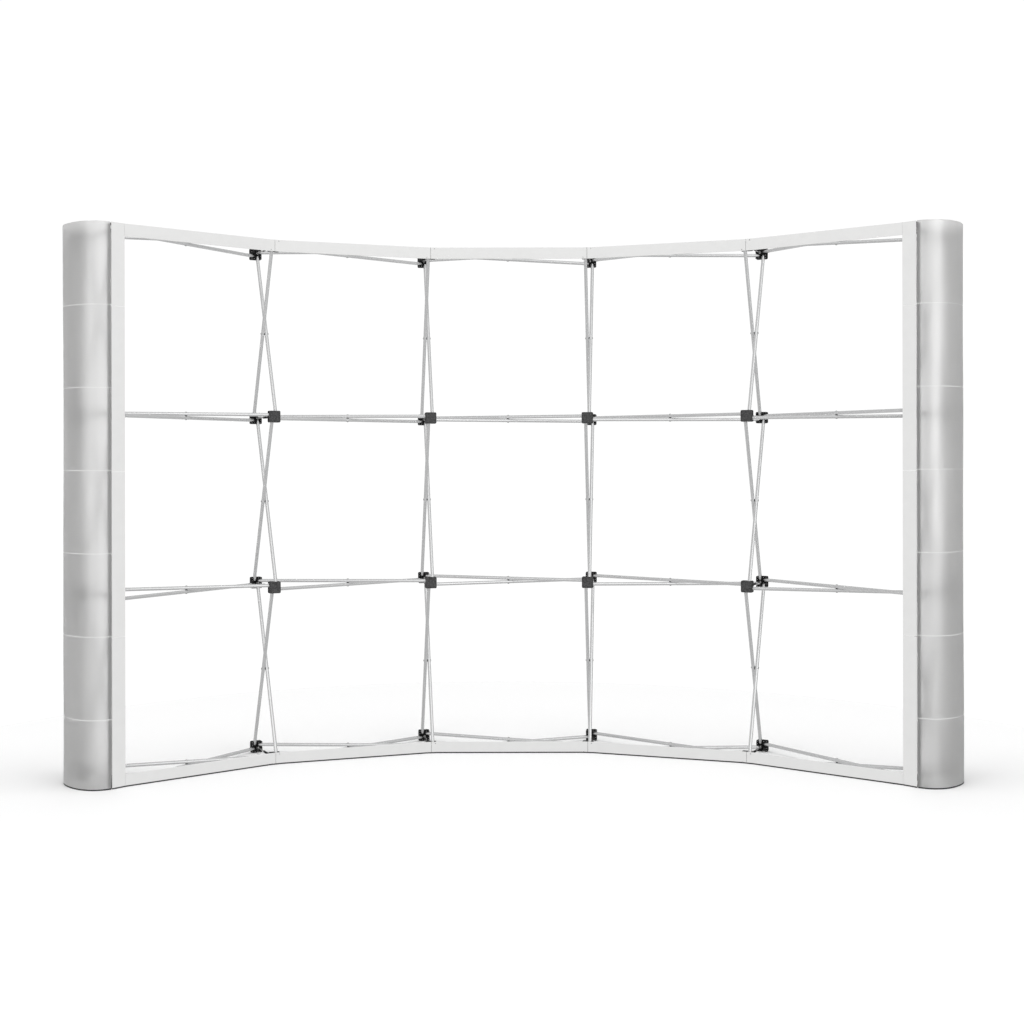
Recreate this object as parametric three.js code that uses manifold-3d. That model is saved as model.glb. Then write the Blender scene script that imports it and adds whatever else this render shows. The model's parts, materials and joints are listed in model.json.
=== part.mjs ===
// Pop-up display backwall: a curved folding lattice of aluminium tubes between plastic hubs,
// with locking arms, top and bottom rails, end bars and two half-round end panels.
// Millimetres, +Z up, standing on z = 0, with the hollow side of the curve facing -Y.
import * as THREE from "three";
import { mergeVertices } from "three/addons/utils/BufferGeometryUtils.js";
import Module from "manifold-3d";

const wasm = await Module();
wasm.setup();

// The lattice.
const BAYS = 5;
const HUB_ROWS = 4;
const BAY_ANGLE = 17.8; // degrees of arc between two hub columns
const FRONT_RADIUS = 2230; // arc centre to the outer faces of the front hubs
const PIN_PLANE_GAP = 250; // between the tube pins of the front and of the rear hubs
const ROW_PITCH = 727;

// The tubes, their pins and the rivets where they cross.
const TUBE_DIAMETER = 15; // across the flats
const TUBE_SIDES = 8;
const UPRIGHT_TUBE_END = 7.5; // how far an upright tube runs past its pin
const LEVEL_TUBE_END = 14; // a level tube runs on into the hub's core, which holds it
const TUBE_STEP = 8; // from a hub's centre line to a tube's axis, to one side
const PIN_REACH = 16; // from a hub's centre to the tube pins
const PIN_DIAMETER = 4;
const PIN_SIDES = 4;
const PIN_BITE = 1; // how far a pin's ends are set into the hub
const RIVET_DIAMETER = 5;
const RIVET_SIDES = 6;

// The hubs. Each one is a square moulding with four slots, and all are alike.
const HUB_SIZE = 50;
const HUB_PLATE = 4; // floor behind the slots
const HUB_FACE_TO_PINS = 15;
const HUB_PINS_TO_RIM = 9;
const SLOT_END = 6; // from the hub's centre line to a slot's closed end

// The locking arms and the ears on the hubs that they span.
const EAR_REACH = 28; // from the tube pins to the arm's pin
const EAR_THICKNESS = 2.7;
const EAR_ROOT = 1; // how deep an ear is set into the hub
const EAR_ROOT_HEIGHT = 11;
const EAR_TIP_HEIGHT = 9;
const ARM_PIN_DIAMETER = 5;
const ARM_PIN_SIDES = 6;
const ARM_PIN_PAST = 0.8; // the pin stands out past the arm's side
const ARM_THICKNESS = 4.4;
const ARM_HEIGHT = 11;
const HOOK_REACH = 9; // from the hook's pin to the arm's end
const HOOK_DROP = 7; // from the hook's pin to the hook's lower edge

// The rails, bars and end panels.
const RAIL_THICKNESS = 4;
const SEAM_WIDTH = 1.6;
const SEAM_DEPTH = 1.5;
const BAR_WIDTH = 58;
const BAR_THICKNESS = 4;
const BAR_SECTION = 653; // between two seams of a bar
const BAR_TOP_SECTION = 330;
const PANEL_BULGE = 110; // how far an end panel stands out past its bars
const PANEL_THICKNESS = 2;
const PANEL_FACETS = 9;

// Clearances.
const RUNNING_GAP = 0.3; // between pieces that touch or turn

// What follows from them.
const HUB_FACE = PIN_PLANE_GAP / 2 + HUB_FACE_TO_PINS; // mid-plane to a hub's outer face
const MID_RADIUS = FRONT_RADIUS + HUB_FACE;
const TOTAL_HEIGHT = (HUB_ROWS - 1) * ROW_PITCH + HUB_SIZE;
const ARM_SPAN = PIN_PLANE_GAP - 2 * EAR_REACH;
const TUBE_RADIUS = TUBE_DIAMETER / 2 / Math.cos(Math.PI / TUBE_SIDES);
const HALF_BAR = BAR_WIDTH / 2;

const finishes = {
  tube: new THREE.MeshStandardMaterial({ color: 0xc4c5c6, roughness: 0.32, metalness: 0.9 }),
  arm: new THREE.MeshStandardMaterial({ color: 0x262627, roughness: 0.45, metalness: 0 }),
  trim: new THREE.MeshStandardMaterial({ color: 0xe9e9e8, roughness: 0.45, metalness: 0 }),
  panel: new THREE.MeshStandardMaterial({ color: 0xc3c2c0, roughness: 0.35, metalness: 0 }),
};

// Solids and geometries.

function solidOf(geometry) {
  const bare = geometry.clone();
  bare.deleteAttribute("normal");
  bare.deleteAttribute("uv");
  const merged = mergeVertices(bare, 1e-4);
  return new wasm.Manifold(
    new wasm.Mesh({
      numProp: 3,
      vertProperties: merged.attributes.position.array,
      triVerts: new Uint32Array(merged.index.array),
    }),
  );
}

function geometryOf(solid) {
  const mesh = solid.getMesh();
  const geometry = new THREE.BufferGeometry();
  geometry.setAttribute("position", new THREE.BufferAttribute(mesh.vertProperties, 3));
  geometry.setIndex(new THREE.BufferAttribute(mesh.triVerts, 1));
  geometry.computeVertexNormals();
  return geometry;
}

function pieceMesh(name, geometry, finish) {
  const mesh = new THREE.Mesh(geometry, finish);
  mesh.name = name;
  return mesh;
}

// An outline seen from above, drawn as x and y, raised by a height.
function raised(shape, height, facets = 1) {
  return new THREE.ExtrudeGeometry(shape, {
    depth: height,
    bevelEnabled: false,
    curveSegments: facets,
  });
}

// An outline seen from the front, drawn as x and z, that fills the depth from y0 to y1.
function throughDepth(shape, y0, y1) {
  return raised(shape, y1 - y0).rotateX(Math.PI / 2).translate(0, y1, 0);
}

// An outline seen from the side, drawn as y and z, that fills the width from x0 to x1.
function throughWidth(shape, x0, x1) {
  const y = new THREE.Vector3(0, 1, 0);
  const z = new THREE.Vector3(0, 0, 1);
  const turn = new THREE.Matrix4().makeBasis(y, z, y.clone().cross(z));
  return raised(shape, x1 - x0).applyMatrix4(turn).translate(x0, 0, 0);
}

function outline(points) {
  return new THREE.Shape(points.map(([x, y]) => new THREE.Vector2(x, y)));
}

function regularOutline(radius, sides) {
  const corners = Array.from({ length: sides }, (_, corner) => {
    const angle = ((corner + 0.5) * 2 * Math.PI) / sides;
    return [radius * Math.cos(angle), radius * Math.sin(angle)];
  });
  return outline(corners);
}

// A prism of some sides between two points. One of its flats faces along flatAxis.
function prism(start, end, radius, sides, flatAxis) {
  const along = end.clone().sub(start);
  const length = along.length();
  along.normalize();
  const across = flatAxis.clone().projectOnPlane(along).normalize();
  const frame = new THREE.Matrix4()
    .makeBasis(across, along.clone().cross(across), along)
    .setPosition(start);
  return raised(regularOutline(radius, sides), length).applyMatrix4(frame);
}

// A tube that runs past the pins at both of its ends. Its pins lie along pinAxis.
function tubeBetween(pinA, pinB, end, pinAxis) {
  const past = pinB.clone().sub(pinA).setLength(end);
  return prism(pinA.clone().sub(past), pinB.clone().add(past), TUBE_RADIUS, TUBE_SIDES, pinAxis);
}

// A pin across the wall, along x. Its corners lie on the pin's circle.
function crossPin(centre, halfLength, diameter, sides) {
  const half = new THREE.Vector3(halfLength, 0, 0);
  const upwards = new THREE.Vector3(0, 0, 1);
  return prism(centre.clone().sub(half), centre.clone().add(half), diameter / 2, sides, upwards);
}

// The bore that such a pin turns in: its flats keep a running gap to the pin's circle.
function crossBore(centre, halfLength, diameter, sides, flatAxis) {
  const half = new THREE.Vector3(halfLength, 0, 0);
  const radius = (diameter / 2 + RUNNING_GAP) / Math.cos(Math.PI / sides);
  return prism(centre.clone().sub(half), centre.clone().add(half), radius, sides, flatAxis);
}

// Places on the curve. Column frames have x to the right along the wall and y outwards.

function columnMatrix(column) {
  const angle = THREE.MathUtils.degToRad((column - BAYS / 2) * BAY_ANGLE);
  return new THREE.Matrix4()
    .makeRotationZ(-angle)
    .multiply(new THREE.Matrix4().makeTranslation(0, MID_RADIUS, 0));
}

function rowHeight(row) {
  return HUB_SIZE / 2 + row * ROW_PITCH;
}

function inColumn(column, x, y, z) {
  return new THREE.Vector3(x, y, z).applyMatrix4(columnMatrix(column));
}

function columnGroup(column) {
  const group = new THREE.Group();
  columnMatrix(column).decompose(group.position, group.quaternion, group.scale);
  return group;
}

// The hub, in its own frame: its face towards -y, its tube pins in the plane y = 0.

// One slot, open at the hub's edge and rim. Each side's slot is a quarter turn from the last.
function hubSlot(side) {
  const half = TUBE_DIAMETER / 2 + RUNNING_GAP;
  const past = 1;
  const slot = rectangle(TUBE_STEP - half, TUBE_STEP + half, SLOT_END, HUB_SIZE / 2 + past);
  const floor = -HUB_FACE_TO_PINS + HUB_PLATE;
  return throughDepth(slot, floor, HUB_PINS_TO_RIM + past).rotateY((side * Math.PI) / 2);
}

function rectangle(left, right, low, high) {
  return outline([
    [left, low],
    [right, low],
    [right, high],
    [left, high],
  ]);
}

function hubEar() {
  const inner = ARM_THICKNESS / 2 + RUNNING_GAP;
  const root = HUB_PINS_TO_RIM - EAR_ROOT;
  const tip = EAR_REACH + EAR_TIP_HEIGHT / 2;
  const sideView = outline([
    [root, -EAR_ROOT_HEIGHT / 2],
    [tip, -EAR_TIP_HEIGHT / 2],
    [tip, EAR_TIP_HEIGHT / 2],
    [root, EAR_ROOT_HEIGHT / 2],
  ]);
  return throughWidth(sideView, inner, inner + EAR_THICKNESS);
}

function earPin() {
  const inner = ARM_THICKNESS / 2 + RUNNING_GAP;
  const start = -ARM_THICKNESS / 2 - ARM_PIN_PAST;
  const end = inner + EAR_THICKNESS / 2;
  const centre = new THREE.Vector3((start + end) / 2, EAR_REACH, 0);
  return crossPin(centre, (end - start) / 2, ARM_PIN_DIAMETER, ARM_PIN_SIDES);
}

function tubePin(upwards) {
  const centre = new THREE.Vector3(upwards * TUBE_STEP, 0, upwards * PIN_REACH);
  const half = TUBE_DIAMETER / 2 + RUNNING_GAP + PIN_BITE;
  return crossPin(centre, half, PIN_DIAMETER, PIN_SIDES);
}

// A hub holds pins for the upright tubes that it has: none below the lowest row or above the top.
function hubGeometry(row) {
  const half = HUB_SIZE / 2;
  const square = rectangle(-half, half, -half, half);
  let hub = solidOf(throughDepth(square, -HUB_FACE_TO_PINS, HUB_PINS_TO_RIM));
  for (let side = 0; side < 4; side += 1) hub = hub.subtract(solidOf(hubSlot(side)));
  hub = hub.add(solidOf(hubEar())).add(solidOf(earPin()));
  if (row < HUB_ROWS - 1) hub = hub.add(solidOf(tubePin(1)));
  if (row > 0) hub = hub.add(solidOf(tubePin(-1)));
  return geometryOf(hub);
}

function hubMatrix(column, row, isFront) {
  const y = isFront ? -PIN_PLANE_GAP / 2 : PIN_PLANE_GAP / 2;
  return columnMatrix(column)
    .multiply(new THREE.Matrix4().makeTranslation(0, y, rowHeight(row)))
    .multiply(new THREE.Matrix4().makeRotationZ(isFront ? 0 : Math.PI));
}

// A level chain zigzags from end to end of a row: hub, tube, hub, tube, in turn front and rear.

function levelTube(bay, row, startsFront) {
  const side = startsFront ? -1 : 1;
  const y = (side * PIN_PLANE_GAP) / 2;
  const z = rowHeight(row) + side * TUBE_STEP;
  const left = inColumn(bay, PIN_REACH, y, z);
  const right = inColumn(bay + 1, -PIN_REACH, -y, z);
  return { left, right };
}

function crossing(a, b) {
  const ax = a.right.x - a.left.x;
  const ay = a.right.y - a.left.y;
  const bx = b.right.x - b.left.x;
  const by = b.right.y - b.left.y;
  const t = ((b.left.x - a.left.x) * by - (b.left.y - a.left.y) * bx) / (ax * by - ay * bx);
  return a.left.clone().lerp(a.right, t);
}

// The rivet of two level tubes: it fills the space between them up to a running gap.
function levelRivet(bay, row, startsFront) {
  const own = levelTube(bay, row, startsFront);
  const other = levelTube(bay, row, !startsFront);
  const start = crossing(own, other);
  const direction = Math.sign(other.left.z - own.left.z);
  const end = start.clone();
  end.z = other.left.z - direction * (TUBE_DIAMETER / 2 + RUNNING_GAP);
  return prism(start, end, RIVET_DIAMETER / 2, RIVET_SIDES, new THREE.Vector3(1, 0, 0));
}

function levelChain(row, firstHubIsFront) {
  const isFront = (column) => (column % 2 === 0) === firstHubIsFront;
  const upwards = new THREE.Vector3(0, 0, 1);
  const hub = hubGeometry(row);
  const parts = [];
  for (let column = 0; column <= BAYS; column += 1) {
    parts.push(hub.clone().applyMatrix4(hubMatrix(column, row, isFront(column))));
  }
  for (let bay = 0; bay < BAYS; bay += 1) {
    const { left, right } = levelTube(bay, row, isFront(bay));
    parts.push(tubeBetween(left, right, LEVEL_TUBE_END, upwards));
    if (firstHubIsFront) parts.push(levelRivet(bay, row, isFront(bay)));
  }
  return geometryOf(parts.map(solidOf).reduce((sum, next) => sum.add(next)));
}

// An upright pair: two tubes that cross between two rows, riveted where they cross.

function uprightPair() {
  const y = PIN_PLANE_GAP / 2;
  const z = ROW_PITCH / 2 - PIN_REACH;
  const axis = new THREE.Vector3(1, 0, 0);
  let pair = solidOf(crossPin(new THREE.Vector3(), TUBE_STEP, RIVET_DIAMETER, RIVET_SIDES));
  for (const side of [1, -1]) {
    const low = new THREE.Vector3(side * TUBE_STEP, -side * y, -z);
    const high = new THREE.Vector3(side * TUBE_STEP, side * y, z);
    let tube = solidOf(tubeBetween(low, high, UPRIGHT_TUBE_END, axis));
    for (const pin of [low, high]) {
      const along = high.clone().sub(low);
      const bore = crossBore(pin, TUBE_DIAMETER, PIN_DIAMETER, PIN_SIDES, along);
      tube = tube.subtract(solidOf(bore));
    }
    pair = pair.add(tube);
  }
  return geometryOf(pair);
}

// The locking arm, seen from its side: an eye on the rear hub's pin at y = 0, and a hook that
// drops over the front hub's pin at y = -ARM_SPAN.

function lockingArm() {
  const eye = ARM_HEIGHT / 2;
  const seat = ARM_PIN_DIAMETER / 2 + RUNNING_GAP;
  const points = [];
  for (const degrees of [-67.5, -22.5, 22.5, 67.5]) {
    const angle = THREE.MathUtils.degToRad(degrees);
    points.push([eye * Math.cos(angle), eye * Math.sin(angle)]);
  }
  const hook = -ARM_SPAN;
  points.push(
    [hook - HOOK_REACH / 2, eye],
    [hook - HOOK_REACH, eye / 2],
    [hook - HOOK_REACH, -HOOK_DROP],
    [hook - seat, -HOOK_DROP],
    [hook - seat, seat],
    [hook + seat, seat],
    [hook + seat, -HOOK_DROP],
    [hook + HOOK_REACH, -HOOK_DROP],
    [hook + 2 * HOOK_REACH, -eye],
  );
  const bar = throughWidth(outline(points), -ARM_THICKNESS / 2, ARM_THICKNESS / 2);
  const upwards = new THREE.Vector3(0, 0, 1);
  const bore = crossBore(
    new THREE.Vector3(),
    ARM_THICKNESS,
    ARM_PIN_DIAMETER,
    ARM_PIN_SIDES,
    upwards,
  );
  return geometryOf(solidOf(bar).subtract(solidOf(bore)));
}

// A rail follows the front hubs of one row, with a seam at each hub between the end bars.

function railGeometry() {
  const back = -HUB_FACE - RUNNING_GAP;
  const front = back - RAIL_THICKNESS;
  const end = HALF_BAR + RUNNING_GAP;
  const pad = HUB_SIZE / 2;
  const half = SEAM_WIDTH / 2;
  const frontLine = [inColumn(0, end, front, 0)];
  const backLine = [inColumn(0, end, back, 0)];
  for (let column = 1; column < BAYS; column += 1) {
    frontLine.push(
      inColumn(column, -pad, front, 0),
      inColumn(column, -half, front, 0),
      inColumn(column, -half, front + SEAM_DEPTH, 0),
      inColumn(column, half, front + SEAM_DEPTH, 0),
      inColumn(column, half, front, 0),
      inColumn(column, pad, front, 0),
    );
    backLine.push(inColumn(column, -pad, back, 0), inColumn(column, pad, back, 0));
  }
  frontLine.push(inColumn(BAYS, -end, front, 0));
  backLine.push(inColumn(BAYS, -end, back, 0));
  const around = [...frontLine, ...backLine.reverse()];
  return raised(outline(around.map((point) => [point.x, point.y])), HUB_SIZE);
}

// A bar stands on the floor against the outer faces of an end column's hubs.

function barGeometry() {
  const half = SEAM_WIDTH / 2;
  const seams = [];
  for (let z = TOTAL_HEIGHT - BAR_TOP_SECTION; z > half; z -= BAR_SECTION) seams.push(z);
  const points = [
    [BAR_THICKNESS, 0],
    [BAR_THICKNESS, TOTAL_HEIGHT],
    [0, TOTAL_HEIGHT],
  ];
  for (const z of seams) {
    points.push([0, z + half], [SEAM_DEPTH, z + half], [SEAM_DEPTH, z - half], [0, z - half]);
  }
  points.push([0, 0]);
  return throughWidth(outline(points), -HALF_BAR, HALF_BAR);
}

// An end panel closes the wall's end: half an ellipse in plan, from bar to bar, open inside.

function panelGeometry() {
  const outerHalf = HUB_FACE + RUNNING_GAP + BAR_THICKNESS;
  const innerHalf = outerHalf - PANEL_THICKNESS;
  const innerBulge = PANEL_BULGE - PANEL_THICKNESS;
  const quarter = Math.PI / 2;
  const shape = new THREE.Shape();
  shape.absellipse(0, 0, PANEL_BULGE, outerHalf, -quarter, quarter, false, 0);
  shape.lineTo(0, innerHalf);
  shape.absellipse(0, 0, innerBulge, innerHalf, quarter, -quarter, true, 0);
  shape.closePath();
  return raised(shape, TOTAL_HEIGHT, PANEL_FACETS);
}

// Assembly, first about the arc's centre, then moved so that the origin is under the middle.

const wall = new THREE.Group();
const chainNames = ["a", "b"];
for (let row = 0; row < HUB_ROWS; row += 1) {
  chainNames.forEach((letter, index) => {
    const chain = levelChain(row, index === 0);
    wall.add(pieceMesh(`hub_chain_row${row + 1}_${letter}`, chain, finishes.tube));
  });
}

const pairGeometry = uprightPair();
const armGeometry = lockingArm();
for (let column = 0; column <= BAYS; column += 1) {
  const group = columnGroup(column);
  for (let row = 0; row < HUB_ROWS; row += 1) {
    const arm = pieceMesh(`locking_arm_c${column + 1}_r${row + 1}`, armGeometry, finishes.arm);
    arm.position.set(0, PIN_PLANE_GAP / 2 - EAR_REACH, rowHeight(row));
    group.add(arm);
    if (row === HUB_ROWS - 1) continue;
    const pair = pieceMesh(`upright_tubes_c${column + 1}_r${row + 1}`, pairGeometry, finishes.tube);
    pair.position.z = rowHeight(row) + ROW_PITCH / 2;
    group.add(pair);
  }
  wall.add(group);
}

for (const [name, z] of [["bottom_rail", 0], ["top_rail", TOTAL_HEIGHT - HUB_SIZE]]) {
  const rail = pieceMesh(name, railGeometry(), finishes.trim);
  rail.position.z = z;
  wall.add(rail);
}

const barAtEnd = barGeometry();
const panelAtEnd = panelGeometry();
for (const [end, column, outward] of [["left", 0, -1], ["right", BAYS, 1]]) {
  const group = columnGroup(column);
  const frontBar = pieceMesh(`front_bar_${end}`, barAtEnd, finishes.trim);
  frontBar.position.y = -HUB_FACE - RUNNING_GAP - BAR_THICKNESS;
  const rearBar = pieceMesh(`rear_bar_${end}`, barAtEnd, finishes.trim);
  rearBar.position.y = HUB_FACE + RUNNING_GAP + BAR_THICKNESS;
  rearBar.rotation.z = Math.PI;
  const panel = pieceMesh(`end_panel_${end}`, panelAtEnd, finishes.panel);
  panel.position.x = outward * (HALF_BAR + RUNNING_GAP);
  panel.rotation.z = outward > 0 ? 0 : Math.PI;
  group.add(frontBar, rearBar, panel);
  wall.add(group);
}

const extents = new THREE.Box3().setFromObject(wall, true);
wall.position.y = -(extents.min.y + extents.max.y) / 2;

const backwall = new THREE.Group();
backwall.add(wall);

export default backwall;
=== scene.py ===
# The looks of a pop-up display backwall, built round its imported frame. Metres, +Z up.
import json
import math

import bpy
from mathutils import Matrix, Vector, geometry


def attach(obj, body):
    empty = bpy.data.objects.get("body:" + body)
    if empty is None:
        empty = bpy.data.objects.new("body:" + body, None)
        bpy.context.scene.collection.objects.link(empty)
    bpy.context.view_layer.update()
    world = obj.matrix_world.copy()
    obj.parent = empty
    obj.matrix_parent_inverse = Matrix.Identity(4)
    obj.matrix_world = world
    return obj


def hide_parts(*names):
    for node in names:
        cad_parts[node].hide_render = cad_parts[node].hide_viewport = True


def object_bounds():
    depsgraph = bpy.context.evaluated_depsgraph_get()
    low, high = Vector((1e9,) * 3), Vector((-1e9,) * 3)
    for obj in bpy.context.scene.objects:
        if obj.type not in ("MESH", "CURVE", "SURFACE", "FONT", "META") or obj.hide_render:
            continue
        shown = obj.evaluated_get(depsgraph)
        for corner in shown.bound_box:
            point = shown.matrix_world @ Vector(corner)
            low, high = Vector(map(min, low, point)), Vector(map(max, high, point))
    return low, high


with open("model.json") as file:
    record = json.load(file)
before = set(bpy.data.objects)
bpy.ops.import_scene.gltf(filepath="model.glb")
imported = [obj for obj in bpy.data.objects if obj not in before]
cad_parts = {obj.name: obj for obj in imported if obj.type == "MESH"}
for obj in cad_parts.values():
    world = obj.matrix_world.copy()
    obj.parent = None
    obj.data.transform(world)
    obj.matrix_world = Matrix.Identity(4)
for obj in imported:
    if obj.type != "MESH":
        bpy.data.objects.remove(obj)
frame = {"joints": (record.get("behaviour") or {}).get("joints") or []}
cad_low, cad_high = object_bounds()

MM = 0.001
OVERLAP = 1 * MM  # how far the parts of one piece reach into each other

# The lattice.
PIN_GAP = 250 * MM  # between the tube pins of the front and of the rear hubs
PIN_REACH = 16 * MM  # from a hub's centre to its tube pins
PIN_RADIUS = 2 * MM
PIN_CHAMFER = 0.4 * MM
PIN_SIDES = 16  # and those of the low domes
TUBE_STEP = 8 * MM  # from a hub's centre line to a tube's axis, to one side
TUBE_RADIUS = 7.5 * MM
TUBE_ROUNDING = 3.5 * MM
TUBE_SIDES = 28
UPRIGHT_TUBE_END = 7.5 * MM  # how far a tube runs past its pin
LEVEL_TUBE_END = 9 * MM
RIVET_RADIUS = 2.5 * MM
RIVET_HEAD = 4.6 * MM  # the head's radius
RIVET_RISE = 2.3 * MM  # from a tube's side to the top of the head
RIVET_DOME = 2.2 * MM
RIVET_FOOT = 5 * MM  # from the top of a head down to its foot, inside the tube
RIVET_SIDES = 20  # and those of the washers and of the arms' pins
WASHER_RADIUS = 5.4 * MM
WASHER_SINK = 0.6 * MM  # how far its faces lie inside the tubes' sides
WASHER_CHAMFER = 0.5 * MM

# The hubs, in their own frame: the face towards -y, the tube pins in the plane y = 0.
HUB_HALF = 25 * MM
HUB_CORNER = 5.5 * MM
HUB_EDGE = 0.9 * MM  # the rounding of its edges
HUB_FACE = 15 * MM  # from the pins to the outer face
HUB_RIM = 9 * MM  # from the pins to the open rim
SLOT_CLEARANCE = 0.3 * MM
SLOT_HALF = TUBE_RADIUS + SLOT_CLEARANCE
SLOT_END = 6 * MM  # from a hub's centre to a slot's closed end
SLOT_ROUNDING = 3 * MM
SLOT_MOUTH = 2.6 * MM  # the rounding where a slot opens
PIN_LENGTH = 2 * (SLOT_HALF + OVERLAP)
PLATE_THICKNESS = 4 * MM
PLATE_BORDER = 3 * MM
PLATE_SINK = 0.8 * MM  # how far the plate steps down inside its border
INLAY_GROOVE = 1.2 * MM  # between the plate's border and the inlay
INLAY_DROP = 0.1 * MM  # from the border's face to the inlay's
INLAY_EDGE = 0.4 * MM
GATE_PLACE = Vector((9, -14)) * MM  # a low mark that the mould leaves on the inlay
GATE_RADIUS = 2.2 * MM
GATE_HEIGHT = 0.3 * MM
STUD_PLACES = ((20 * MM, 20 * MM), (20 * MM, 9 * MM))  # on the rim of one cheek
STUD_RADIUS = 1.5 * MM
STUD_HEIGHT = 0.7 * MM
EAR_NEAR = 2.5 * MM  # from a hub's centre line to the ear's sides
EAR_FAR = 5.2 * MM
EAR_REACH = 28 * MM  # from the tube pins to the ear's pin
EAR_ROOT = 5.5 * MM  # half the ear's height at the hub
EAR_TIP = 4.5 * MM  # and at its tip, which lies as far past the pin
EAR_ROUNDING = 4.2 * MM
EAR_EDGE = 0.5 * MM

# The locking arms, from the pivot at the rear ear to the hook over the front ear's pin.
ARM_PIVOT = PIN_GAP / 2 - EAR_REACH  # from the lattice's mid-plane to the pivots
ARM_SPAN = 2 * ARM_PIVOT
ARM_HALF = 2.2 * MM  # half the thickness
ARM_HEIGHT = 11 * MM
ARM_EDGE = 0.5 * MM
ARM_PIN_RADIUS = 2.5 * MM
ARM_PIN_CHAMFER = 0.5 * MM
ARM_PIN_PAST = 0.8 * MM  # how far a pin sticks out of an arm
# The profile of a pin's head: (radius, height over the ear).
ARM_PIN_HEAD = ((3.6 * MM, 0), (3.4 * MM, 0.8 * MM), (2 * MM, 1.3 * MM), (0, 1.4 * MM))
ARM_CLEARANCE = 0.3 * MM
EYE_EDGE = 0.6 * MM
EYE_SIDES = 24
ROD_RADIUS = 2.1 * MM
ROD_SHARE = 0.4  # of the span, from the pivot
ROD_HOLD = 10 * MM  # how far the rod reaches into the shank
SHANK_TAPER = 1.2 * MM  # what the shank loses above and below on its way to the rod
SHANK_ROUNDING = 2.5 * MM
POCKET_RIM = 2.6 * MM  # from the shank's outline to its pocket
POCKET_SLOPE = 0.5 * MM
POCKET_DEPTH = 0.9 * MM
HOOK_REACH = 9 * MM  # from the pin to the hook's ends
HOOK_DROP = 7 * MM  # from the pin to the hook's lower side
HOOK_HEEL = 1.6 * HOOK_REACH  # from the pin to where the hook's lower side rises to the shank's
HOOK_TAIL = 1.8 * HOOK_REACH  # from the pin to where the hook ends in the shank

# The roundings of the hook's outline, from its front upper corner round to the shank.
HOOK_BROW = 4.5 * MM
HOOK_NOSE = 2 * MM
HOOK_LIP = 1.2 * MM
HOOK_THROAT = 2.4 * MM
HOOK_CHIN = 1.5 * MM
HOOK_NECK = 3 * MM

# The rails, bars and end panels.
HEIGHT = cad_high.z
HUB_PLANE = PIN_GAP / 2 + HUB_FACE  # from the mid-plane to the hubs' outer faces
TRIM_GAP = 0.3 * MM
TRIM_THICKNESS = 4 * MM
TRIM_EDGE = 0.9 * MM  # the rounding of its front edges
TRIM_FACE = HUB_PLANE + TRIM_GAP + TRIM_THICKNESS  # from the mid-plane to the trim's outer face
RAIL_HEIGHT = 50 * MM
RAIL_SEAM = 0.7 * MM  # half the gap between two segments
RAIL_BEND = 1 * MM  # from a hub's side to where a segment bends
FIXING_RADIUS = 2.4 * MM
FIXING_HEIGHT = 0.4 * MM
FIXING_OFFSET = Vector((17, 19)) * MM
BAR_HALF = 29 * MM
BAR_SECTION = 653 * MM
BAR_TOP_SECTION = 330 * MM
BAR_SEAM = 0.7 * MM  # half the gap between two sections
BAR_EDGE = 0.6 * MM  # the rounding of a section's ends
CONTACT_SHADOW_HEIGHT = 5.2 * MM  # painted contact shadow: a dark strip under whatever stands on the floor, where shade falls at the floor
# how far the painted contact-shadow strip lies inside the faces above it
CONTACT_SHADOW_INSET = 0.6 * MM
PANEL_BULGE = 110 * MM
PANEL_THICKNESS = 2 * MM
PANEL_RIM = 2.5 * MM
PANEL_INSET = 1.5 * MM  # how far the film lies inside the solid's outer face
PANEL_STEPS = 48  # from edge to edge
PANEL_LEVEL = 50 * MM  # about the height between two rows of corners
PANEL_EDGE = 0.9999 * math.pi / 2  # the film's last angle, where it still has some thickness
LINES = 6  # level ones, evenly from the top down
LINE_PITCH = 326 * MM
LINE_WIDTH = 5 * MM
LINE_DEPTH = 0.3 * MM
WAVE = 2.5 * MM  # how far the film lies inside its true curve at most
WAVE_TURN = 4.2  # how fast the wave runs round the film, in radians for each radian
WAVE_DRIFTS = ((1.9, 2.6, 1), (0.6, 7.3, 0))  # its shifts up the film: how far, how fast, start
SLIT = 0.8 * MM  # between the film's edges and the bars
SLIT_GAIN = 3.6 * MM  # what the slit gains at the top and at the foot
SLIT_TAPER = 35 * MM  # the height in which it loses most of that again
FLANGE = 26 * MM  # a magnetic strip that stands inside each edge of the film; its dark colour is also painted shade on the film near the bars
FLANGE_THICKNESS = 1.5 * MM
FLANGE_INSET = 6 * MM  # from the floor and from the top to the strip's ends
FLANGE_EDGE = 0.4 * MM

# The studio.
FLOOR_RADIUS = 3
FLOOR_MIDDLE = -0.9  # along y
FLOOR_SIDES = 96
BACKDROP = 1.03  # how bright the surroundings are to the eye
SKY = 0.9  # and as light on matt surfaces
GLOSS_AXIS = (0.32, -0.885, 0.34)  # the middle of the bright side of the surroundings in gloss
# Its brightness, from the side away from that axis, at 0, to the axis itself, at 1.
GLOSS = ((0, 0.6), (0.3, 0.42), (0.5, 0.36), (0.65, 0.38), (0.82, 0.45), (0.92, 0.6), (0.97, 1.15))
GLOSS_SPREAD = math.radians(50)  # of the softboxes
CAMERA_PLACE = (-0.186, -5.615, 1.282)
CAMERA_YAW = -0.001
CAMERA_ROLL = -0.0017
SENSOR_WIDTH = 36  # millimetres, as the focal length
FOCAL_LENGTH = 46.26
LENS_SHIFT = (0.0427, -0.0483)
CLIP_END = 100


# Places.


X, Y, Z = Vector((1, 0, 0)), Vector((0, 1, 0)), Vector((0, 0, 1))


def facing(u, v, w):
    """The turn that lays a form's x, y and z along three given axes."""
    return Matrix((u, v, w)).transposed().to_4x4()


FRONT_VIEW = facing(X, Z, -Y)  # outlines drawn as x and z, raised towards -y
SIDE_VIEW = facing(Y, Z, X)  # outlines drawn as y and z, raised towards +x


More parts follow.
